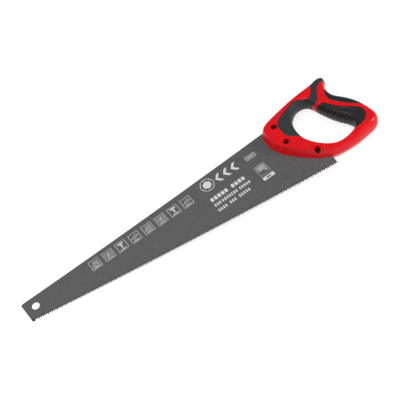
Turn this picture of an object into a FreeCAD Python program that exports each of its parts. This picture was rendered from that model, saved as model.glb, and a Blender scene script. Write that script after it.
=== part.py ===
"""Hand saw: a toothed steel blade in a closed plastic handle with soft grip pads, held by three through-screws.

Drawn frame, used by every function below: origin at the heel end of the line of tooth tips, +X towards
the back of the handle, +Y from the teeth to the back of the blade, +Z along the blade's normal, z = 0 in
the middle of the blade's thickness. The Placement of every body, solid and tool then moves the drawn
frame so that the document's origin is the centre of the hanging hole in the toe.
"""

import FreeCAD, Part

import math
import os

import Sketcher
from FreeCAD import Vector

doc = FreeCAD.newDocument("HandSaw")

# ------------------------------------------------------------------ driving dimensions, mm and degrees

DIMENSIONS = {
    # blade
    "tooth_line": 504.0,  # heel tip to toe tip
    "tooth_bow": 10000.0,  # radius of the slightly bulging line of tooth tips
    "back_hollow": 14000.0,  # radius of the slightly hollow back
    "blade_gauge": 1.0,
    "toe_rise": 34.6,  # toe's upper corner above its lower one
    "toe_lean": 6.8,  # how far the upper corner stands ahead of the lower one
    "toe_round": 3.0,
    "heel_round": 1.0,
    "tang_round": 5.0,
    "tooth_pitch": 3.6286,  # 7 points to the inch
    "tooth_depth": 3.9,
    "tooth_tip": 0.12,
    "tooth_bevel": 18.0,  # angle of the file across the sheet
    "tooth_land": 2.5,  # plain edge between the toe and the first gullet
    "hang_bore": 12.0,
    "hang_inset": 13.0,  # hole's centre from the toe's lower corner, along the teeth
    "hang_rise": 22.0,  # and above it
    # handle
    "handle_ahead": 0.6,  # the handle's own drawn origin, from the heel tip towards the toe
    "handle_above": 1.8,  # and up from the line of teeth
    "handle_long": 165.0,  # front corner to rearmost point
    "handle_tall": 137.5,  # underside of the lower rail to the tip of the horn
    "handle_thick": 28.0,
    "pad_thick": 2.2,
    "slot_room": 0.1,  # between the blade and each wall of its slot
    # the three screws, alike
    "web_thick": 10.0,  # plastic between a screw's two counterbores
    "counterbore": 10.0,
    "barrel_width": 6.4,
    "barrel_room": 0.1,  # radial
    "head_width": 9.0,
    "head_tall": 3.0,
    "flange_tall": 2.4,
    "washer_gauge": 0.8,
    "washer_room": 0.2,  # radial, round the screw
    "barrel_gap": 0.3,  # between the end of the barrel and the washer
    "thread_width": 4.0,
    "thread_room": 0.03,  # radial, between the screw's shank and the barrel
    "shank_gap": 1.0,  # between the end of the screw and the bottom of its bore
    "edge_break": 0.5,
    "driver_span": 5.2,
    "driver_width": 1.3,
    "driver_deep": 1.9,
}

sheet = doc.addObject("Spreadsheet::Sheet", "Dims")
for row, (alias, value) in enumerate(DIMENSIONS.items(), start=1):
    sheet.set(f"A{row}", alias)
    sheet.set(f"B{row}", str(value))
    sheet.setAlias(f"B{row}", alias)
doc.recompute()


def size(alias):
    return float(getattr(sheet, alias))


# The handle's curves are drawn on a handle of this length and height, and stretch with it.
DRAWN_LONG = 165.0
DRAWN_TALL = 137.5
STRETCH_X = f"Dims.handle_long / {DRAWN_LONG}"
STRETCH_Y = f"Dims.handle_tall / {DRAWN_TALL}"
HOME_X = "Dims.tooth_line - Dims.hang_inset"
HOME_Y = "-Dims.hang_rise"
HALF_WEB = "Dims.web_thick / 2"

SCREWS = {"front": (-51.6, 101.6), "middle": (-48.5, 66.7), "rear": (-15.5, 28.4)}
BACK_MEETS_HANDLE = (-68.0, 109.8)
TANG = [(-41.0, 114.8), (-39.5, 71.0), (-13.0, 38.0), (0.0, 25.0)]

finished = []


def stretched(point):
    """Where a point of the handle's curves comes to lie in the drawn frame."""
    x, y = point
    return (
        x * size("handle_long") / DRAWN_LONG - size("handle_ahead"),
        y * size("handle_tall") / DRAWN_TALL + size("handle_above"),
    )


def on_handle(point):
    """The same as a pair of expressions."""
    x, y = point
    return f"({x}) * {STRETCH_X} - Dims.handle_ahead", f"({y}) * {STRETCH_Y} + Dims.handle_above"


def home(obj, x="0", y="0", z="0"):
    """Binds an object's place: x, y, z in the drawn frame, moved so the hanging hole is the origin."""
    obj.setExpression("Placement.Base.x", f"{HOME_X} + {x}")
    obj.setExpression("Placement.Base.y", f"{HOME_Y} + {y}")
    obj.setExpression("Placement.Base.z", z)


def at_screw(where):
    return on_handle(SCREWS[where])


def keep(obj, node):
    obj.Label = node
    finished.append(obj)
    return obj


# ------------------------------------------------------------------ sketches


def origin_plane(body, role):
    return next(feature for feature in body.Origin.OriginFeatures if feature.Role == role)


def new_sketch(body, name, role="XY_Plane"):
    sketch = body.newObject("Sketcher::SketchObject", name)
    sketch.AttachmentSupport = (origin_plane(body, role), [""])
    sketch.MapMode = "FlatFace"
    return sketch


def drawn_at(pair):
    """The point that a pair of expressions gives, for a sketch's first drawing."""
    x, y = pair
    return Vector(sheet.evalExpression(x), sheet.evalExpression(y), 0)


def hold_point(sketch, side, end, pair, name):
    """Holds a point of a sketch at a pair of expressions, measured from the sketch's origin."""
    for kind, axis, expression in (("DistanceX", "x", pair[0]), ("DistanceY", "y", pair[1])):
        value = sheet.evalExpression(expression)
        number = sketch.addConstraint(Sketcher.Constraint(kind, -1, 1, side, end, value))
        sketch.renameConstraint(number, f"{name}_{axis}")
        sketch.setExpression(f"Constraints.{name}_{axis}", expression)


def outline(sketch, corners, bows=None):
    """Closed clockwise outline through corners, each a pair of expressions, as straight sides. bows maps
    the number of a side that is an arc to its radius's expression and 1 where it bulges, -1 where it is
    hollow."""
    bows = bows or {}
    start_end = 1, 2
    ends = []
    for number, corner in enumerate(corners):
        start = drawn_at(corner)
        stop = drawn_at(corners[(number + 1) % len(corners)])
        if number in bows:
            expression, way = bows[number]
            radius = sheet.evalExpression(expression)
            chord = stop - start
            outward = Vector(-chord.y, chord.x, 0).normalize()
            rise = radius - math.sqrt(radius**2 - (chord.Length / 2) ** 2)
            middle = (start + stop) / 2 + outward * rise * way
            side = sketch.addGeometry(Part.Arc(start, middle, stop), False)
        else:
            side = sketch.addGeometry(Part.LineSegment(start, stop), False)
        turned = (sketch.getPoint(side, 1) - start).Length > (sketch.getPoint(side, 2) - start).Length
        ends.append((side, *(reversed(start_end) if turned else start_end)))
    for number, (side, start, _) in enumerate(ends):
        before, _, stop_before = ends[number - 1]
        sketch.addConstraint(Sketcher.Constraint("Coincident", before, stop_before, side, start))
        hold_point(sketch, side, start, corners[number], f"corner{number}")
        if number in bows:
            expression, _ = bows[number]
            radius = sheet.evalExpression(expression)
            held = sketch.addConstraint(Sketcher.Constraint("Radius", side, radius))
            sketch.renameConstraint(held, f"bow{number}")
            sketch.setExpression(f"Constraints.bow{number}", expression)


def circle(sketch, centre, diameter, name):
    """Circle at a pair of expressions."""
    round_edge = Part.Circle(drawn_at(centre), Vector(0, 0, 1), sheet.evalExpression(diameter) / 2)
    side = sketch.addGeometry(round_edge, False)
    hold_point(sketch, side, 3, centre, name)
    held = sketch.addConstraint(Sketcher.Constraint("Diameter", side, sheet.evalExpression(diameter)))
    sketch.renameConstraint(held, f"{name}_width")
    sketch.setExpression(f"Constraints.{name}_width", diameter)


# ------------------------------------------------------------------ bodies


def new_body(name):
    return doc.addObject("PartDesign::Body", name)


def pad(body, sketch, length, symmetric=True):
    feature = body.newObject("PartDesign::Pad", f"{body.Name}_Pad")
    feature.Profile = sketch
    feature.Midplane = symmetric
    feature.setExpression("Length", length)
    return feature


def pocket_through(body, sketch, name):
    """Cuts a sketch through the whole body, both ways."""
    feature = body.newObject("PartDesign::Pocket", name)
    feature.Profile = sketch
    feature.Type = "ThroughAll"
    feature.Midplane = True
    return feature


def revolve(body, sketch):
    """Turns a profile drawn on the XZ plane round the Z axis."""
    feature = body.newObject("PartDesign::Revolution", f"{body.Name}_Turned")
    feature.Profile = sketch
    feature.ReferenceAxis = (sketch, ["V_Axis"])
    feature.Angle = 360
    return feature


def upright_edges_at(shape, corners):
    """Names of the edges along Z that stand at any of the corners."""
    places = [drawn_at(corner) for corner in corners]
    names = []
    for number, edge in enumerate(shape.Edges, start=1):
        first, last = edge.Vertexes[0].Point, edge.Vertexes[-1].Point
        upright = math.hypot(first.x - last.x, first.y - last.y) < 1e-6
        if upright and any(math.hypot(first.x - p.x, first.y - p.y) < 1e-3 for p in places):
            names.append(f"Edge{number}")
    return names


def round_corners(body, base, corners, radius, name):
    """Rounds the upright edges of a plate that stand at the given corners."""
    doc.recompute()
    feature = body.newObject("PartDesign::Fillet", name)
    feature.Base = (base, upright_edges_at(base.Shape, corners))
    feature.setExpression("Radius", radius)
    return feature


def placed_feature(name, shape):
    """A shape that only Part's own functions can make, as an object of the document, in its place."""
    obj = doc.addObject("Part::Feature", name)
    obj.Shape = shape
    home(obj)
    return obj


def cut(name, base, tool):
    obj = doc.addObject("Part::Cut", name)
    obj.Base = base
    obj.Tool = tool
    obj.Refine = False
    return obj


def common(name, first, second):
    obj = doc.addObject("Part::Common", name)
    obj.Base = first
    obj.Tool = second
    obj.Refine = False
    return obj


def joined(name, shapes):
    obj = doc.addObject("Part::MultiFuse", name)
    obj.Shapes = shapes
    obj.Refine = False
    return obj


def cylinder(name, diameter, height, place, base="0"):
    obj = doc.addObject("Part::Cylinder", name)
    obj.setExpression("Radius", f"({diameter}) / 2")
    obj.setExpression("Height", height)
    home(obj, *place, base)
    return obj


# ------------------------------------------------------------------ blade

TOE_LOW = ("-Dims.tooth_line", "0")
TOE_HIGH = ("-Dims.tooth_line - Dims.toe_lean", "Dims.toe_rise")
HEEL = ("0", "0")


def blade_corners():
    """Clockwise from the toe's lower corner."""
    return [TOE_LOW, TOE_HIGH, on_handle(BACK_MEETS_HANDLE), *map(on_handle, TANG), HEEL]


def tooth_gullets(side):
    """Every second V-shaped gullet between the teeth: those filed slanting across the sheet to one side,
    1 or -1."""
    radius = size("tooth_bow")
    chord = size("tooth_line")
    half_angle = math.asin(chord / 2 / radius)
    centre = Vector(-chord / 2, radius * math.cos(half_angle), 0)
    pitch = size("tooth_pitch")
    depth = size("tooth_depth")
    over = depth / 2
    half_open = (pitch - size("tooth_tip")) / 2 * (1 + over / depth)
    tall = 2 * size("blade_gauge")
    lean = side * tall * math.tan(math.radians(size("tooth_bevel")))
    corners = [
        Vector(-half_open - lean / 2, -radius - over, -tall / 2),
        Vector(half_open - lean / 2, -radius - over, -tall / 2),
        Vector(-lean / 2, -radius + depth, -tall / 2),
    ]
    gullet = Part.Face(Part.makePolygon([*corners, corners[0]])).extrude(Vector(lean, 0, tall))
    count = int((radius * 2 * half_angle - size("tooth_land")) / pitch)
    gullets = []
    for number in range((1 - side) // 2, count, 2):
        away = half_angle - (number + 0.5) * pitch / radius
        filed = gullet.copy()
        filed.rotate(Vector(0, 0, 0), Vector(0, 0, 1), math.degrees(away))
        filed.translate(centre)
        gullets.append(filed)
    return Part.makeCompound(gullets)


def make_blade():
    body = new_body("BladeSheet")
    corners = blade_corners()
    edge = new_sketch(body, "BladeOutline")
    outline(edge, corners, {1: ("Dims.back_hollow", -1), len(corners) - 1: ("Dims.tooth_bow", 1)})
    plate = pad(body, edge, "Dims.blade_gauge")
    plate = round_corners(body, plate, corners[:2], "Dims.toe_round", "ToeRounds")
    plate = round_corners(body, plate, [corners[3], corners[6]], "Dims.tang_round", "TangRounds")
    plate = round_corners(body, plate, [HEEL], "Dims.heel_round", "HeelRound")
    holes = new_sketch(body, "BladeHoles")
    hang = ("-Dims.tooth_line + Dims.hang_inset", "Dims.hang_rise")
    circle(holes, hang, "Dims.hang_bore", "hang")
    for where in SCREWS:
        circle(holes, at_screw(where), "Dims.barrel_width + 2 * Dims.barrel_room", where)
    pocket_through(body, holes, "BladeHolesCut")
    home(body)
    half_filed = cut("HalfFiledBlade", body, placed_feature("GulletsOneWay", tooth_gullets(1)))
    blade = cut("Blade", half_filed, placed_feature("GulletsOtherWay", tooth_gullets(-1)))
    return keep(blade, "blade")


# ------------------------------------------------------------------ handle's outside shape

# Each point is x, y, how far the edge comes in at the flat side, and how round that edge is (0 a straight
# bevel, 1 a quarter ellipse). The handle's outer edge, clockwise from the front corner at the blade's back.
OUTER_EDGE = [
    (-70.5, 108.0, 4.0, 0.3),
    (-64.0, 113.6, 3.5, 0.6),
    (-46.0, 121.5, 3.5, 0.8),
    (-16.0, 132.0, 3.5, 0.8),
    (16.0, 140.3, 3.5, 0.8),
    (38.0, 146.0, 4.0, 0.9),
    (48.5, 148.6, 4.0, 1.0),
    (57.3, 143.6, 4.0, 1.0),
    (54.0, 134.0, 5.5, 1.0),
    (51.6, 122.0, 8.0, 1.0),
    (55.2, 110.5, 10.0, 1.0),
    (66.4, 98.0, 11.0, 1.0),
    (79.2, 81.5, 11.0, 1.0),
    (87.3, 63.8, 10.0, 1.0),
    (91.2, 49.9, 8.0, 1.0),
    (91.8, 38.2, 7.5, 1.0),
    (85.3, 28.6, 7.3, 1.0),
    (69.0, 22.0, 7.0, 1.0),
    (48.5, 16.3, 7.0, 0.9),
    (26.0, 13.0, 6.5, 0.6),
    (4.0, 13.0, 6.2, 0.3),
    (-17.0, 19.5, 6.2, 0.1),
    (-41.0, 37.5, 6.2, 0.1),
    (-61.5, 58.0, 6.2, 0.1),
    (-71.5, 77.0, 6.2, 0.1),
    (-73.5, 94.0, 5.5, 0.1),
]
# The same for the finger opening, which grows towards the flat sides.
FINGER_EDGE = [
    (3.0, 121.7, 5.0, 1.0),
    (12.0, 119.3, 5.5, 1.0),
    (17.5, 110.0, 8.0, 1.0),
    (24.0, 95.0, 9.0, 1.0),
    (33.0, 78.0, 9.0, 1.0),
    (43.8, 62.7, 9.0, 1.0),
    (52.2, 51.9, 8.0, 1.0),
    (54.8, 41.8, 6.0, 1.0),
    (46.2, 32.6, 4.0, 1.0),
    (31.8, 27.0, 4.0, 1.0),
    (14.2, 26.7, 4.0, 1.0),
    (-1.2, 35.2, 4.0, 1.0),
    (-13.8, 48.2, 4.5, 1.0),
    (-21.6, 63.4, 6.0, 1.0),
    (-24.3, 82.0, 7.0, 1.0),
    (-21.0, 101.5, 7.0, 1.0),
    (-9.8, 115.8, 6.0, 1.0),
]
RIM_STEPS = 5  # sections between mid thickness and the flat side
POINTS_PER_EDGE = 3


def normals(points):
    """Unit normals of a clockwise run of points, pointing to its inside."""
    found = []
    for number in range(len(points)):
        ax, ay = points[number - 1]
        bx, by = points[(number + 1) % len(points)]
        length = math.hypot(bx - ax, by - ay)
        found.append(((by - ay) / length, (ax - bx) / length))
    return found


def chord_parameters(points):
    """0 to 1 along the closed run, in the ratio of its chords."""
    total = [0.0]
    for number, (x, y) in enumerate(points):
        next_x, next_y = points[(number + 1) % len(points)]
        total.append(total[-1] + math.hypot(next_x - x, next_y - y))
    return [along / total[-1] for along in total]


def closed_wire(points, parameters):
    """Smooth closed wire through points, as several edges so that each face on it stays small."""
    curve = Part.BSplineCurve()
    curve.interpolate(Points=points, PeriodicFlag=True, Parameters=parameters)
    cuts = [*range(0, len(points), POINTS_PER_EDGE), len(points)]
    return Part.Wire([curve.toShape(parameters[a], parameters[b]) for a, b in zip(cuts, cuts[1:])])


def rim_solid(edge, side, inset, half_thick):
    """Solid between z = 0 and half_thick whose edge follows each point's own bevel or rounding. side is 1
    where the solid shrinks towards the flat side and -1 where it grows."""
    flat = [stretched((x, y)) for x, y, _, _ in edge]
    inward = normals(flat)
    parameters = chord_parameters(flat)
    wires = []
    for step in range(RIM_STEPS + 1):
        angle = math.radians(90.0 * step / RIM_STEPS)
        section = []
        for (x, y), (nx, ny), (_, _, width, roundness) in zip(flat, inward, edge):
            come_in = roundness * (1 - math.cos(angle)) + (1 - roundness) * math.sin(angle)
            shift = side * (inset + (width - inset) * come_in)
            section.append(Vector(x + nx * shift, y + ny * shift, half_thick * math.sin(angle)))
        wires.append(closed_wire(section, parameters))
    return Part.makeLoft(wires, True, False)


def handle_form(inset):
    """The whole handle's outside shape, brought in by inset all over."""
    half_thick = size("handle_thick") / 2 - inset
    body = rim_solid(OUTER_EDGE, 1, inset, half_thick)
    opening = rim_solid(FINGER_EDGE, -1, inset, half_thick)
    upper = body.cut(opening)
    lower = upper.mirror(Vector(0, 0, 0), Vector(0, 0, 1))
    return upper.fuse(lower)


# ------------------------------------------------------------------ soft pads

# Where each soft pad shows on the flat sides: a closed run of points, which goes on outside the handle
# or into the finger opening where the pad wraps over that edge.
FRONT_PATCH = [
    (-46.2, 92.0),
    (-44.6, 103.5),
    (-36.5, 111.8),
    (-21.5, 119.6),
    (-10.0, 125.4),
    (-2.5, 127.2),
    (5.0, 125.4),
    (12.0, 122.6),
    (19.0, 120.6),
    (24.0, 124.4),
    (29.0, 132.0),
    (33.0, 142.0),
    (35.0, 156.0),
    (50.0, 160.0),
    (68.0, 144.0),
    (61.0, 134.0),
    (52.6, 136.6),
    (46.2, 136.2),
    (40.7, 131.3),
    (32.3, 117.3),
    (26.6, 107.6),
    (21.8, 106.6),
    (17.2, 109.8),
    (8.0, 108.0),
    (-2.0, 88.0),
    (-11.0, 62.5),
    (-24.5, 63.6),
    (-34.0, 68.2),
    (-42.2, 75.0),
    (-45.6, 84.0),
]
PALM_PATCH = [
    (54.0, 127.5),
    (46.8, 121.0),
    (43.8, 114.0),
    (43.2, 106.5),
    (44.4, 99.5),
    (49.2, 92.6),
    (61.8, 79.5),
    (76.4, 68.4),
    (84.4, 63.2),
    (98.0, 58.0),
    (98.0, 84.0),
    (80.0, 110.0),
    (64.0, 126.0),
]
FINGER_PATCH = [
    (12.0, 94.0),
    (16.5, 102.2),
    (21.4, 102.6),
    (25.8, 100.6),
    (31.5, 100.2),
    (37.6, 94.9),
    (46.9, 83.9),
    (58.8, 73.9),
    (73.2, 63.0),
    (77.8, 55.0),
    (77.6, 48.0),
    (74.6, 41.6),
    (69.0, 36.3),
    (60.7, 32.6),
    (52.5, 31.2),
    (45.0, 36.0),
    (36.0, 48.0),
    (22.0, 66.0),
]


def patch_prism(patch):
    """Prism right through the handle over a pad's patch."""
    reach = size("handle_thick")
    flat = [stretched(point) for point in patch]
    wire = closed_wire([Vector(x, y, -reach) for x, y in flat], chord_parameters(flat))
    return Part.Face(wire).extrude(Vector(0, 0, 2 * reach))


def make_pad(node, patch, outside, inside):
    """Soft pad: the skin between the handle's outside and the surface pad_thick below it, over a patch."""
    name = node.title().replace("_", "")
    prism = placed_feature(f"{name}Patch", patch_prism(patch))
    return keep(common(name, cut(f"{name}Hollow", prism, inside), outside), node)


# ------------------------------------------------------------------ handle's core


def make_slot():
    """Room for the blade's tang, open to the front and the bottom of the handle."""
    body = new_body("BladeSlot")
    room = "Dims.slot_room"
    grown = {
        "top": (f"{on_handle(TANG[0])[0]} + {room}", f"{on_handle(TANG[0])[1]} + {room}"),
        "upper": (f"{on_handle(TANG[1])[0]} + {room}", f"{on_handle(TANG[1])[1]} + {room}"),
        "lower": (f"{on_handle(TANG[2])[0]} + {room}", f"{on_handle(TANG[2])[1]} + {room}"),
        "heel": (f"{on_handle(TANG[3])[0]} + {room}", f"{on_handle(TANG[3])[1]} + {room}"),
    }
    back = on_handle(BACK_MEETS_HANDLE)
    corners = [
        ("-Dims.handle_long", "0"),
        ("-Dims.handle_long", f"{back[1]} + {room}"),
        (back[0], f"{back[1]} + {room}"),
        *grown.values(),
        (room, "0"),
    ]
    sketch = new_sketch(body, "SlotOutline")
    outline(sketch, corners)
    pad(body, sketch, f"Dims.blade_gauge + 2 * {room}")
    home(body)
    return body


def screw_bores():
    """For each screw, the bore for its barrel and the two counterbores over its head and its flange."""
    bores = []
    reach = "Dims.handle_thick"
    for where in SCREWS:
        place = at_screw(where)
        name = where.title()
        barrel = "Dims.barrel_width + 2 * Dims.barrel_room"
        bores += [
            cylinder(f"{name}Bore", barrel, f"2 * {reach}", place, f"-{reach}"),
            cylinder(f"{name}HeadRecess", "Dims.counterbore", reach, place, HALF_WEB),
            cylinder(f"{name}FlangeRecess", "Dims.counterbore", reach, place, f"-{HALF_WEB} - {reach}"),
        ]
    return bores


def make_core(outside, pads):
    hollows = joined("HandleHollows", [make_slot(), *screw_bores()])
    bare = outside
    for skin in pads:
        bare = cut(f"HandleWithout{skin.Name}", bare, skin)
    return keep(cut("HandleCore", bare, hollows), "handle_core")


# ------------------------------------------------------------------ fasteners


def profile_body(name, corners):
    """Body turned round Z from a half profile of r, z pairs of expressions, listed clockwise."""
    body = new_body(name)
    sketch = new_sketch(body, f"{name}Profile", "XZ_Plane")
    outline(sketch, corners)
    revolve(body, sketch)
    return body


def make_washer(where):
    body = profile_body(
        f"Washer{where.title()}",
        [
            ("Dims.thread_width / 2 + Dims.washer_room", HALF_WEB),
            ("Dims.thread_width / 2 + Dims.washer_room", f"{HALF_WEB} + Dims.washer_gauge"),
            ("Dims.head_width / 2", f"{HALF_WEB} + Dims.washer_gauge"),
            ("Dims.head_width / 2", HALF_WEB),
        ],
    )
    home(body, *at_screw(where))
    return keep(body, f"washer_{where}")


SHANK_END = f"-{HALF_WEB} + Dims.shank_gap"


def make_screw(where):
    """Cheese-head screw with a cross recess."""
    name = f"Screw{where.title()}"
    seat = f"{HALF_WEB} + Dims.washer_gauge"
    top = f"{seat} + Dims.head_tall"
    body = profile_body(
        name,
        [
            ("0", SHANK_END),
            ("0", top),
            ("Dims.head_width / 2 - Dims.edge_break", top),
            ("Dims.head_width / 2", f"{top} - Dims.edge_break"),
            ("Dims.head_width / 2", seat),
            ("Dims.thread_width / 2", seat),
            ("Dims.thread_width / 2", SHANK_END),
        ],
    )
    for number, (along_x, along_y) in enumerate((("span", "width"), ("width", "span"))):
        sketch = new_sketch(body, f"{name}Driver{number}")
        half_x = f"Dims.driver_{along_x} / 2"
        half_y = f"Dims.driver_{along_y} / 2"
        outline(
            sketch,
            [
                (f"-{half_x}", f"-{half_y}"),
                (f"-{half_x}", half_y),
                (half_x, half_y),
                (half_x, f"-{half_y}"),
            ],
        )
        sketch.setExpression("AttachmentOffset.Base.z", top)
        slot = body.newObject("PartDesign::Pocket", f"{name}Slot{number}")
        slot.Profile = sketch
        slot.setExpression("Length", "Dims.driver_deep")
    home(body, *at_screw(where))
    return keep(body, f"screw_{where}")


def make_barrel(where):
    """Flanged barrel nut, put in from the handle's underside."""
    name = f"Barrel{where.title()}"
    bore = "Dims.thread_width / 2 + Dims.thread_room"
    mouth = f"{HALF_WEB} - Dims.barrel_gap"
    floor = f"-{HALF_WEB} - Dims.flange_tall"
    body = profile_body(
        name,
        [
            (bore, f"-{HALF_WEB}"),
            (bore, mouth),
            ("Dims.barrel_width / 2", mouth),
            ("Dims.barrel_width / 2", f"-{HALF_WEB}"),
            ("Dims.head_width / 2", f"-{HALF_WEB}"),
            ("Dims.head_width / 2", f"{floor} + Dims.edge_break"),
            ("Dims.head_width / 2 - Dims.edge_break", floor),
            ("0", floor),
            ("0", f"-{HALF_WEB}"),
        ],
    )
    home(body, *at_screw(where))
    return keep(body, f"barrel_{where}")


# ------------------------------------------------------------------ the saw


def write_steps():
    doc.recompute()
    failed = [obj.Name for obj in doc.Objects if {"Invalid", "Error"} & set(obj.State)]
    failed += [obj.Label for obj in finished if obj.Shape.isNull() or not obj.Shape.isValid()]
    if failed:
        raise RuntimeError(f"these objects failed: {failed}")
    os.makedirs("parts", exist_ok=True)
    for obj in finished:
        obj.Shape.exportStep(f"parts/{obj.Label}.step")


make_blade()
handle_outside = placed_feature("HandleOutside", handle_form(0.0))
handle_inside = placed_feature("UnderPads", handle_form(size("pad_thick")))
soft_pads = [
    make_pad("front_soft_pad", FRONT_PATCH, handle_outside, handle_inside),
    make_pad("palm_soft_pad", PALM_PATCH, handle_outside, handle_inside),
    make_pad("finger_soft_pad", FINGER_PATCH, handle_outside, handle_inside),
]
make_core(handle_outside, soft_pads)
for screw_place in SCREWS:
    make_screw(screw_place)
    make_washer(screw_place)
    make_barrel(screw_place)
write_steps()
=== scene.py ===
"""Hand saw lying on its side: a coated steel blade with printed marks, in a two-shot moulded handle.

Metres, in the part's own frame: the hanging hole's centre is the origin, +X runs to the handle, +Y from
the teeth to the back, +Z out of the side that faces up.
"""

import math

import bmesh
import bpy
from mathutils import Matrix, Vector


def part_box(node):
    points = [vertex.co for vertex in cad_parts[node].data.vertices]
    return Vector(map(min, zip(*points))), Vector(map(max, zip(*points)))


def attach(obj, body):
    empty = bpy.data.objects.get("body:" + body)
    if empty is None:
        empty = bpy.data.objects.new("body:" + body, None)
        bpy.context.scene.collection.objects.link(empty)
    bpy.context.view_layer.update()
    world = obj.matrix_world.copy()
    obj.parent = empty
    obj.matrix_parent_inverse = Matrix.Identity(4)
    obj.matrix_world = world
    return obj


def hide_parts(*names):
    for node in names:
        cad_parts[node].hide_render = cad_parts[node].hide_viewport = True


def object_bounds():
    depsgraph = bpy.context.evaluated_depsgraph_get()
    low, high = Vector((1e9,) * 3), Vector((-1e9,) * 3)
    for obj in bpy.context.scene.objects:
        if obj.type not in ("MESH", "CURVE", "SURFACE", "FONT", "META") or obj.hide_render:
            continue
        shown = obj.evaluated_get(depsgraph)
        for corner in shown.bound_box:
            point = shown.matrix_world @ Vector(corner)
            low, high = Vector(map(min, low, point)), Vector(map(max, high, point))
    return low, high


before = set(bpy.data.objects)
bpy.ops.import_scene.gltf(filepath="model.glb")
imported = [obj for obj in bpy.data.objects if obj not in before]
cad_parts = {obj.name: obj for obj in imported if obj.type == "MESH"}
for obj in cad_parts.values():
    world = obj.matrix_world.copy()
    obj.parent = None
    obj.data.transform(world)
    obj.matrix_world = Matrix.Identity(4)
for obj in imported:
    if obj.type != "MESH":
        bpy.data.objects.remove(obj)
cad_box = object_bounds()
MM = 0.001

# ---------------------------------------------------------------- blade
# Tempered sheet steel with a matte grey low-friction coating, punched, toothed and induction-hardened
# along the teeth, which are left burnished dark. The coating has a fine grain that runs with the sheet.


def new_material(name, colour, roughness, metallic=0.0):
    material = bpy.data.materials.new(name)
    material.use_nodes = True
    shader = material.node_tree.nodes["Principled BSDF"]
    shader.inputs["Base Color"].default_value = (*colour, 1.0)
    shader.inputs["Roughness"].default_value = roughness
    shader.inputs["Metallic"].default_value = metallic
    return material, material.node_tree.nodes, material.node_tree.links, shader


def grain(nodes, links, size, stretch=(1.0, 1.0, 1.0), detail=3.0):
    """Noise of a grain size in metres, on the object's own coordinates."""
    coordinates = nodes.new("ShaderNodeTexCoord")
    mapping = nodes.new("ShaderNodeMapping")
    mapping.inputs["Scale"].default_value = stretch
    noise = nodes.new("ShaderNodeTexNoise")
    noise.inputs["Scale"].default_value = 1.0 / size
    noise.inputs["Detail"].default_value = detail
    links.new(coordinates.outputs["Object"], mapping.inputs["Vector"])
    links.new(mapping.outputs["Vector"], noise.inputs["Vector"])
    return noise.outputs["Fac"]


def two_tone(nodes, links, shader, factor, low, high, dark, light):
    """Colours a surface from dark to light where factor goes from low to high."""
    ramp = nodes.new("ShaderNodeValToRGB")
    ramp.color_ramp.elements[0].position = low
    ramp.color_ramp.elements[0].color = (*dark, 1.0)
    ramp.color_ramp.elements[1].position = high
    ramp.color_ramp.elements[1].color = (*light, 1.0)
    links.new(factor, ramp.inputs["Fac"])
    links.new(ramp.outputs["Color"], shader.inputs["Base Color"])
    return ramp


def bump(nodes, links, shader, height, strength, depth):
    relief = nodes.new("ShaderNodeBump")
    relief.inputs["Strength"].default_value = strength
    relief.inputs["Distance"].default_value = depth
    links.new(height, relief.inputs["Height"])
    links.new(relief.outputs["Normal"], shader.inputs["Normal"])


def vary_roughness(nodes, links, shader, factor, low, high):
    spread = nodes.new("ShaderNodeMapRange")
    spread.inputs["To Min"].default_value = low
    spread.inputs["To Max"].default_value = high
    links.new(factor, spread.inputs["Value"])
    links.new(spread.outputs["Result"], shader.inputs["Roughness"])


def repaint(node_name, material):
    """Gives a CAD node one material on all its faces."""
    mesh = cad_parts[node_name].data
    mesh.materials.clear()
    mesh.materials.append(material)


COATING_DARK = (0.078, 0.079, 0.081)
COATING_LIGHT = (0.128, 0.129, 0.131)
TOOTH_BLACK = (0.010, 0.010, 0.011)
TOOTH_DEPTH = 3.9 * MM
BAND_FADE = (1.25 * TOOTH_DEPTH, 0.6 * TOOTH_DEPTH)  # the dark band's start and full depth, from the tips
HEEL_TIP = Vector((491.0, -22.0)) * MM
TOE_TIP = Vector((-13.0, -22.0)) * MM
TOOTH_BOW = 10000.0 * MM
ROLLED_STREAK = (0.35, 1.0, 1.0)  # the grain is drawn out along the blade
coating, nodes, links, shader = new_material("blade_coating", COATING_LIGHT, 0.5, metallic=0.25)
mottle = grain(nodes, links, 0.9 * MM, stretch=ROLLED_STREAK, detail=5.0)
ramp = two_tone(nodes, links, shader, mottle, 0.3, 0.7, COATING_DARK, COATING_LIGHT)
half_line = (HEEL_TIP - TOE_TIP).length / 2
bow_centre = (HEEL_TIP + TOE_TIP) / 2 + Vector((0.0, math.sqrt(TOOTH_BOW**2 - half_line**2)))
coordinates = nodes.new("ShaderNodeTexCoord")
flat = nodes.new("ShaderNodeVectorMath")
flat.operation = "MULTIPLY"
flat.inputs[1].default_value = (1.0, 1.0, 0.0)
from_centre = nodes.new("ShaderNodeVectorMath")
from_centre.operation = "DISTANCE"
from_centre.inputs[1].default_value = (*bow_centre, 0.0)
tooth_band = nodes.new("ShaderNodeMapRange")
tooth_band.inputs["From Min"].default_value = TOOTH_BOW - BAND_FADE[0]
tooth_band.inputs["From Max"].default_value = TOOTH_BOW - BAND_FADE[1]
burnish = nodes.new("ShaderNodeMix")
burnish.data_type = "RGBA"
burnish.inputs["B"].default_value = (*TOOTH_BLACK, 1.0)
links.new(coordinates.outputs["Object"], flat.inputs[0])
links.new(flat.outputs["Vector"], from_centre.inputs[0])
links.new(from_centre.outputs["Value"], tooth_band.inputs["Value"])
links.new(tooth_band.outputs["Result"], burnish.inputs["Factor"])
links.new(ramp.outputs["Color"], burnish.inputs["A"])
links.new(burnish.outputs["Result"], shader.inputs["Base Color"])
vary_roughness(nodes, links, shader, mottle, 0.42, 0.58)
bump(nodes, links, shader, grain(nodes, links, 0.35 * MM), 0.25, 0.02 * MM)
repaint("blade", coating)

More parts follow.
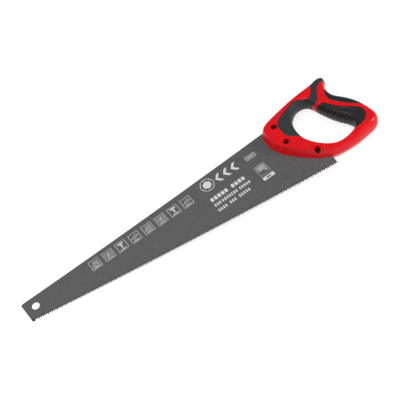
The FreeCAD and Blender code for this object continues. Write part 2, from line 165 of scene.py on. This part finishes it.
# ---------------------------------------------------------------- printed marks
# Pale ink screen-printed on the upper face only: a row of eight small framed pictures along the back, a
# plain badge with three chevrons, lines of blocks, a small frame, and a framed length of 500 over a bar.

PRINT_SLOPE = math.radians(9.5)
INK_THICK = 0.03 * MM
BLADE_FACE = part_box("blade")[1][2]

ink_mesh = bmesh.new()
print_turn = Matrix.Rotation(PRINT_SLOPE, 4, "Z")


def ink(u, v, length, width, angle=0.0):
    """One inked stroke: u, v its centre in millimetres along and across the print's own slope."""
    place = (
        print_turn
        @ Matrix.Translation((u * MM, v * MM, BLADE_FACE + INK_THICK / 2))
        @ Matrix.Rotation(math.radians(angle), 4, "Z")
        @ Matrix.Diagonal((length * MM, width * MM, INK_THICK, 1.0))
    )
    bmesh.ops.create_cube(ink_mesh, size=1.0, matrix=place)


def ink_frame(u, v, length, width, line):
    for side in (-1, 1):
        ink(u, v + side * (width - line) / 2, length, line)
        ink(u + side * (length - line) / 2, v, line, width - 2 * line)


def ink_words(v, height, words, stroke, gap):
    """Words of plain upright blocks: words lists each one's start and end."""
    for start, end in words:
        count = round((end - start + gap) / (stroke + gap))
        for number in range(count):
            ink(start + stroke / 2 + number * (stroke + gap), v, stroke, height)


PICTURE_FIRST = 105.8
PICTURE_PITCH = 23.5
PICTURE_ROW = -0.3
PICTURE_DROP = 0.54  # each frame's step towards the teeth, because the back is less steep than the print
PICTURE_SIDE = 17.0
BOARD_LINE = 0.7
for number in range(8):
    middle = PICTURE_FIRST + number * PICTURE_PITCH
    row = PICTURE_ROW - number * PICTURE_DROP
    ink_frame(middle, row, PICTURE_SIDE, PICTURE_SIDE, 0.6)
    ink(middle, row - 5.9, 10.0, 1.3)  # caption
    if number % 4 == 0:  # two boards, one on the other
        ink_frame(middle, row - 1.6, 11.0, 3.4, BOARD_LINE)
        ink_frame(middle + 1.2, row + 3.2, 8.0, 3.4, BOARD_LINE)
    if number % 4 == 1:  # board with a cut across it
        ink_frame(middle - 3.6, row + 1.0, 4.8, 7.6, BOARD_LINE)
        ink_frame(middle + 3.6, row + 1.0, 4.8, 7.6, BOARD_LINE)
        ink(middle, row + 1.0, 0.8, 9.0, -12.0)
    if number % 4 == 2:  # post and beam
        ink(middle, row + 4.8, 9.4, 2.4)
        ink(middle, row + 0.1, 2.4, 6.4)
    if number % 4 == 3:  # round bar, lying at a slant
        ink(middle - 1.4, row + 1.8, 12.0, 0.8, 30.0)
        ink(middle + 1.4, row - 0.6, 12.0, 0.8, 30.0)

BADGE_MIDDLE = 311.0
BADGE_ROW = -0.2
BADGE_FLATS = 10.4
BADGE_RING = 1.1
BADGE_CORE = 0.7 * BADGE_FLATS
badge_place = print_turn @ Matrix.Translation(
    (BADGE_MIDDLE * MM, BADGE_ROW * MM, BLADE_FACE + INK_THICK / 2)
)
bmesh.ops.create_cone(
    ink_mesh,
    cap_ends=True,
    segments=6,
    radius1=BADGE_CORE * MM,
    radius2=BADGE_CORE * MM,
    depth=INK_THICK,
    matrix=badge_place,
)
for side in range(6):
    outward = badge_place @ Matrix.Rotation(math.radians(60.0 * side + 30.0), 4, "Z")
    edge = outward @ Matrix.Translation((BADGE_FLATS * MM, 0.0, 0.0))
    stroke = Matrix.Diagonal((BADGE_RING * MM, BADGE_FLATS * MM, INK_THICK, 1.0))
    bmesh.ops.create_cube(ink_mesh, size=1.0, matrix=edge @ stroke)

CHEVRON_POINT = Vector((325.9, -1.3))
CHEVRON_PITCH = Vector((14.5, 0.0))
CHEVRON_RUN = 6.4
CHEVRON_RISE = 7.8
CHEVRON_BAR = 4.9
CHEVRON_OUTLINE = [
    (0.0, 0.0),
    (CHEVRON_RUN, -CHEVRON_RISE),
    (CHEVRON_RUN + CHEVRON_BAR, -CHEVRON_RISE),
    (CHEVRON_BAR, 0.0),
    (CHEVRON_RUN + CHEVRON_BAR, CHEVRON_RISE),
    (CHEVRON_RUN, CHEVRON_RISE),
]
for arrow in range(3):
    point = CHEVRON_POINT + arrow * CHEVRON_PITCH
    places = [(point + Vector(corner)).to_3d() * MM for corner in CHEVRON_OUTLINE]
    level = Vector((0.0, 0.0, BLADE_FACE))
    outline = ink_mesh.faces.new([ink_mesh.verts.new(print_turn @ place + level) for place in places])
    raised = bmesh.ops.extrude_face_region(ink_mesh, geom=[outline])["geom"]
    top = [part for part in raised if isinstance(part, bmesh.types.BMVert)]
    bmesh.ops.translate(ink_mesh, vec=(0.0, 0.0, INK_THICK), verts=top)

LABEL_MIDDLE = 390.5
LABEL_ROW = -3.2
ink_frame(LABEL_MIDDLE, LABEL_ROW, 17.0, 7.4, 0.8)
ink(LABEL_MIDDLE, LABEL_ROW, 11.0, 1.4)

HEADING_BLOCK = 4.6
TEXT_BLOCK = 2.4
BLOCK_GAP = 1.8
ink_words(-27.6, 6.6, [(299.0, 329.0), (337.0, 361.0)], HEADING_BLOCK, BLOCK_GAP)
ink_words(-38.8, 5.2, [(298.5, 308.5), (312.0, 340.0), (344.0, 362.0)], TEXT_BLOCK, BLOCK_GAP)
ink_words(-49.6, 5.2, [(298.0, 314.0), (319.0, 331.0), (336.0, 354.0)], TEXT_BLOCK, BLOCK_GAP)

LENGTH_MIDDLE = 390.1
LENGTH_ROW = -34.3
DIGIT_ROW = -31.0
DIGIT_TALL = 8.6
DIGIT_WIDE = 3.8
DIGIT_LINE = 1.05
DIGIT_PITCH = 4.8
BAR_ROW = -51.0
ink_frame(LENGTH_MIDDLE, LENGTH_ROW, 18.5, 20.5, 0.35)
half_tall = (DIGIT_TALL - DIGIT_LINE) / 2
half_wide = (DIGIT_WIDE - DIGIT_LINE) / 2
for level in (-half_tall, 0.0, half_tall):  # the five
    ink(LENGTH_MIDDLE - DIGIT_PITCH, DIGIT_ROW + level, DIGIT_WIDE, DIGIT_LINE)
for side in (-1, 1):
    limb = LENGTH_MIDDLE - DIGIT_PITCH + side * half_wide
    ink(limb, DIGIT_ROW - side * half_tall / 2, DIGIT_LINE, half_tall - DIGIT_LINE)
for zero in (0.0, DIGIT_PITCH):  # the noughts
    ink_frame(LENGTH_MIDDLE + zero, DIGIT_ROW, DIGIT_WIDE, DIGIT_TALL, DIGIT_LINE)
ink(LENGTH_MIDDLE + 4.6, -38.4, 4.6, 1.4)
ink_frame(LENGTH_MIDDLE, BAR_ROW, 20.0, 6.2, 1.9)
for side in (-1, 1):
    ink(LENGTH_MIDDLE + side * 6.0, BAR_ROW, 4.0, 2.3)

bmesh.ops.recalc_face_normals(ink_mesh, faces=ink_mesh.faces)
print_data = bpy.data.meshes.new("blade_print")
ink_mesh.to_mesh(print_data)
ink_mesh.free()
blade_print = bpy.data.objects.new("blade_print", print_data)
bpy.context.scene.collection.objects.link(blade_print)
ink_material, nodes, links, shader = new_material("pale_ink", (0.5, 0.5, 0.5), 0.6)
INK_THIN = (0.30, 0.30, 0.30)
INK_FULL = (0.74, 0.74, 0.74)
two_tone(nodes, links, shader, grain(nodes, links, 0.8 * MM), 0.30, 0.46, INK_THIN, INK_FULL)
bump(nodes, links, shader, grain(nodes, links, 0.3 * MM), 0.2, 0.01 * MM)
print_data.materials.append(ink_material)
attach(blade_print, "root")

# ---------------------------------------------------------------- screws, washers and barrels
# Turned steel, zinc-plated and passivated dark. They sit deep in the handle's recesses.

zinc, nodes, links, shader = new_material("black_zinc", (0.035, 0.035, 0.038), 0.34, metallic=0.8)
turned = grain(nodes, links, 0.5 * MM)
two_tone(nodes, links, shader, turned, 0.3, 0.7, (0.02, 0.02, 0.022), (0.05, 0.05, 0.054))
vary_roughness(nodes, links, shader, turned, 0.26, 0.42)
bump(nodes, links, shader, grain(nodes, links, 0.2 * MM), 0.15, 0.01 * MM)
for place in ("front", "middle", "rear"):
    for kind in ("screw", "washer", "barrel"):
        repaint(f"{kind}_{place}", zinc)

# ---------------------------------------------------------------- handle's core
# Red polypropylene, the first shot of the moulding, with a polished tool finish that has gone slightly
# uneven: semi-gloss, with a faint orange peel.

red, nodes, links, shader = new_material("red_plastic", (0.76, 0.008, 0.014), 0.30)
shader.inputs["Specular IOR Level"].default_value = 0.24
flow = grain(nodes, links, 14.0 * MM, detail=2.0)
two_tone(nodes, links, shader, flow, 0.3, 0.7, (0.68, 0.004, 0.008), (0.76, 0.006, 0.012))
vary_roughness(nodes, links, shader, grain(nodes, links, 3.0 * MM), 0.20, 0.30)
bump(nodes, links, shader, grain(nodes, links, 1.6 * MM, detail=1.0), 0.12, 0.03 * MM)
repaint("handle_core", red)

# ---------------------------------------------------------------- soft pads
# Black thermoplastic elastomer, the second shot, moulded over the core. Each pad ends in a rounded lip
# that leaves a fine groove along the red plastic.


def moulded_pad(node_name, cell, passes):
    """The pad's CAD solid with every edge rounded, as a bmesh still to be worked on."""
    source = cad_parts[node_name]
    rough = bpy.data.objects.new(node_name + "_rough", source.data.copy())
    bpy.context.scene.collection.objects.link(rough)
    remesh = rough.modifiers.new("even_mesh", "REMESH")
    remesh.mode = "VOXEL"
    remesh.voxel_size = cell
    evaluated = rough.evaluated_get(bpy.context.evaluated_depsgraph_get())
    pad_mesh = bmesh.new()
    pad_mesh.from_mesh(evaluated.to_mesh())
    evaluated.to_mesh_clear()
    bpy.data.objects.remove(rough)
    for _ in range(passes):
        bmesh.ops.smooth_vert(
            pad_mesh, verts=pad_mesh.verts, factor=0.5, use_axis_x=True, use_axis_y=True, use_axis_z=True
        )
    return pad_mesh


def finish_pad(pad_mesh, piece_name, node_name, material):
    for face in pad_mesh.faces:
        face.smooth = True
    data = bpy.data.meshes.new(piece_name)
    pad_mesh.to_mesh(data)
    pad_mesh.free()
    data.materials.append(material)
    piece = bpy.data.objects.new(piece_name, data)
    bpy.context.scene.collection.objects.link(piece)
    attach(piece, "root")
    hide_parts(node_name)


def elastomer(name, dark, light, roughness):
    material, nodes, links, shader = new_material(name, light, roughness)
    shader.inputs["Specular IOR Level"].default_value = 0.24
    two_tone(nodes, links, shader, grain(nodes, links, 0.7 * MM), 0.3, 0.7, dark, light)
    vary_roughness(nodes, links, shader, grain(nodes, links, 4.0 * MM), roughness - 0.08, roughness + 0.08)
    bump(nodes, links, shader, grain(nodes, links, 0.45 * MM), 0.35, 0.04 * MM)
    return material


# The pads that the hand holds are smoother than the front one. Their colour is painted darker as shade:
# the same elastomer, darkened to stand in for the shade on the grip's walls.
open_rubber = elastomer("black_elastomer", (0.022, 0.026, 0.028), (0.040, 0.046, 0.049), 0.50)
shaded_held_rubber = elastomer("shaded_held_elastomer", (0.011, 0.012, 0.013), (0.022, 0.024, 0.025), 0.40)
finish_pad(moulded_pad("front_soft_pad", 0.6 * MM, 4), "front_pad", "front_soft_pad", open_rubber)
finish_pad(moulded_pad("palm_soft_pad", 0.6 * MM, 4), "palm_pad", "palm_soft_pad", shaded_held_rubber)

# ---------------------------------------------------------------- finger pad
# The same black elastomer, moulded on the inner side of the grip. Ribs cross the wall that the fingers
# hold, and a shallow groove follows the pad's upper edge on each face.

HANDLE_PLACE = Vector((490.4, -20.2))
PANEL_GROOVE = [
    (29.0, 95.0),
    (34.0, 90.6),
    (39.4, 83.6),
    (49.4, 76.0),
    (62.0, 66.4),
    (67.0, 61.6),
    (69.2, 56.6),
    (69.0, 51.4),
    (66.4, 46.8),
    (62.0, 43.0),
]
GROOVE_DEEP = 0.9 * MM
GROOVE_WIDE = 0.75 * MM
GRIP_TOP = Vector((17.5, 110.0))
GRIP_FOOT = Vector((52.2, 51.9))
RIB_PITCH = 6.0 * MM
RIB_DEEP = 0.8 * MM
RIBBED = (0.22, 0.97)  # the share of the grip's length that has ribs
WALL_FACING = 0.35  # how squarely a spot must face the fingers to be ribbed
grip_run = (GRIP_FOOT - GRIP_TOP) * MM
grip_along = grip_run.normalized()
grip_facing = Vector((grip_along.y, -grip_along.x))


def on_frame(point):
    return (Vector(point) + HANDLE_PLACE) * MM


def beside(place, start, end):
    """How far place lies from the line from start to end."""
    run = end - start
    share = max(0.0, min(1.0, (place - start).dot(run) / run.length_squared))
    return (place - start - share * run).length


finger_mesh = moulded_pad("finger_soft_pad", 0.5 * MM, 4)
finger_mesh.normal_update()
groove_line = [on_frame(point) for point in PANEL_GROOVE]
sunk = {}
for vertex in finger_mesh.verts:
    place = vertex.co.xy
    facing = vertex.normal.xy.dot(grip_facing)
    along = (place - on_frame(GRIP_TOP)).dot(grip_along)
    depth = 0.0
    if facing > WALL_FACING and RIBBED[0] < along / grip_run.length < RIBBED[1]:
        wave = 0.5 + 0.5 * math.cos(2 * math.pi * along / RIB_PITCH)
        depth += RIB_DEEP * wave**3 * min(1.0, (facing - WALL_FACING) / 0.3)
    if abs(vertex.normal.z) > 0.4:
        away = min(beside(place, a, b) for a, b in zip(groove_line, groove_line[1:]))
        depth += GROOVE_DEEP * math.exp(-((away / GROOVE_WIDE) ** 2))
    sunk[vertex] = depth
for vertex, depth in sunk.items():
    vertex.co -= vertex.normal * depth
# Painted shade: the finger pad takes the darkened copy of the elastomer.
finish_pad(finger_mesh, "finger_pad", "finger_soft_pad", shaded_held_rubber)

# ---------------------------------------------------------------- floor, light and camera
# A pale board, tilted until the saw rests on its toe and the handle's underside, three soft lamps over it,
# and the camera high on the side of the teeth.

toe_end = cad_box[0][0]
FLOOR_SIDE = 12.0
FLOOR_GAP = 0.6 * MM
floor_mesh = bmesh.new()
bmesh.ops.create_grid(floor_mesh, x_segments=1, y_segments=1, size=FLOOR_SIDE / 2)
core_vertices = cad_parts["handle_core"].data.vertices
steepest = max((-FLOOR_GAP - vertex.co.z) / (vertex.co.x - toe_end) for vertex in core_vertices)
rest_turn = Matrix.Rotation(math.atan(steepest), 3, "Y")
bmesh.ops.rotate(floor_mesh, cent=(0, 0, 0), matrix=rest_turn, verts=floor_mesh.verts)
bmesh.ops.translate(floor_mesh, vec=(toe_end, 0.0, -FLOOR_GAP), verts=floor_mesh.verts)
floor_data = bpy.data.meshes.new("floor")
floor_mesh.to_mesh(floor_data)
floor_mesh.free()
floor = bpy.data.objects.new("floor", floor_data)
bpy.context.scene.collection.objects.link(floor)
paper, nodes, links, shader = new_material("white_board", (0.32, 0.32, 0.32), 0.9)
shader.inputs["Emission Color"].default_value = (1.0, 1.0, 1.0, 1.0)
shader.inputs["Emission Strength"].default_value = 0.80
floor_data.materials.append(paper)

world = bpy.data.worlds.new("studio")
bpy.context.scene.world = world
world.use_nodes = True
world.node_tree.nodes["Background"].inputs["Color"].default_value = (1.0, 1.0, 1.0, 1.0)
world.node_tree.nodes["Background"].inputs["Strength"].default_value = 0.25
bpy.context.scene.view_settings.view_transform = "Standard"


def lamp(name, place, aim, side, power):
    data = bpy.data.lights.new(name, "AREA")
    data.energy = power
    data.size = side
    body = bpy.data.objects.new(name, data)
    facing = (Vector(place) - Vector(aim)).to_track_quat("Z", "Y")
    body.matrix_world = Matrix.Translation(place) @ facing.to_matrix().to_4x4()
    bpy.context.scene.collection.objects.link(body)


lamp("top_lamp", place=(0.1, 0.0, 1.6), aim=(0.2, 0.05, 0.0), side=1.2, power=13.0)
lamp("key_lamp", place=(1.55, -0.5, 0.6), aim=(0.55, 0.03, 0.0), side=0.32, power=9.5)
lamp("toe_lamp", place=(-0.5, -0.2, 1.2), aim=(0.0, 0.0, 0.0), side=0.6, power=3.5)

VIEW_AZIMUTH = math.radians(-8.95)
VIEW_ELEVATION = math.radians(55.0)
VIEW_ROLL = math.radians(-20.0)
VIEW_DISTANCE = 1.6974
VIEW_TARGET = Vector((0.28596, 0.03312, 0.0))
camera_data = bpy.data.cameras.new("camera")
camera_data.lens = 102.2
camera_data.sensor_width = 36.0
camera = bpy.data.objects.new("camera", camera_data)
bpy.context.scene.collection.objects.link(camera)
bpy.context.scene.camera = camera
away = Vector((
    math.sin(VIEW_AZIMUTH) * math.cos(VIEW_ELEVATION),
    -math.cos(VIEW_AZIMUTH) * math.cos(VIEW_ELEVATION),
    math.sin(VIEW_ELEVATION),
))
level_right = Vector((math.cos(VIEW_AZIMUTH), math.sin(VIEW_AZIMUTH), 0.0))
level_up = away.cross(level_right)
right = math.cos(VIEW_ROLL) * level_right + math.sin(VIEW_ROLL) * level_up
turn = Matrix((right, away.cross(right), away)).transposed()
camera.matrix_world = Matrix.Translation(VIEW_TARGET + VIEW_DISTANCE * away) @ turn.to_4x4()
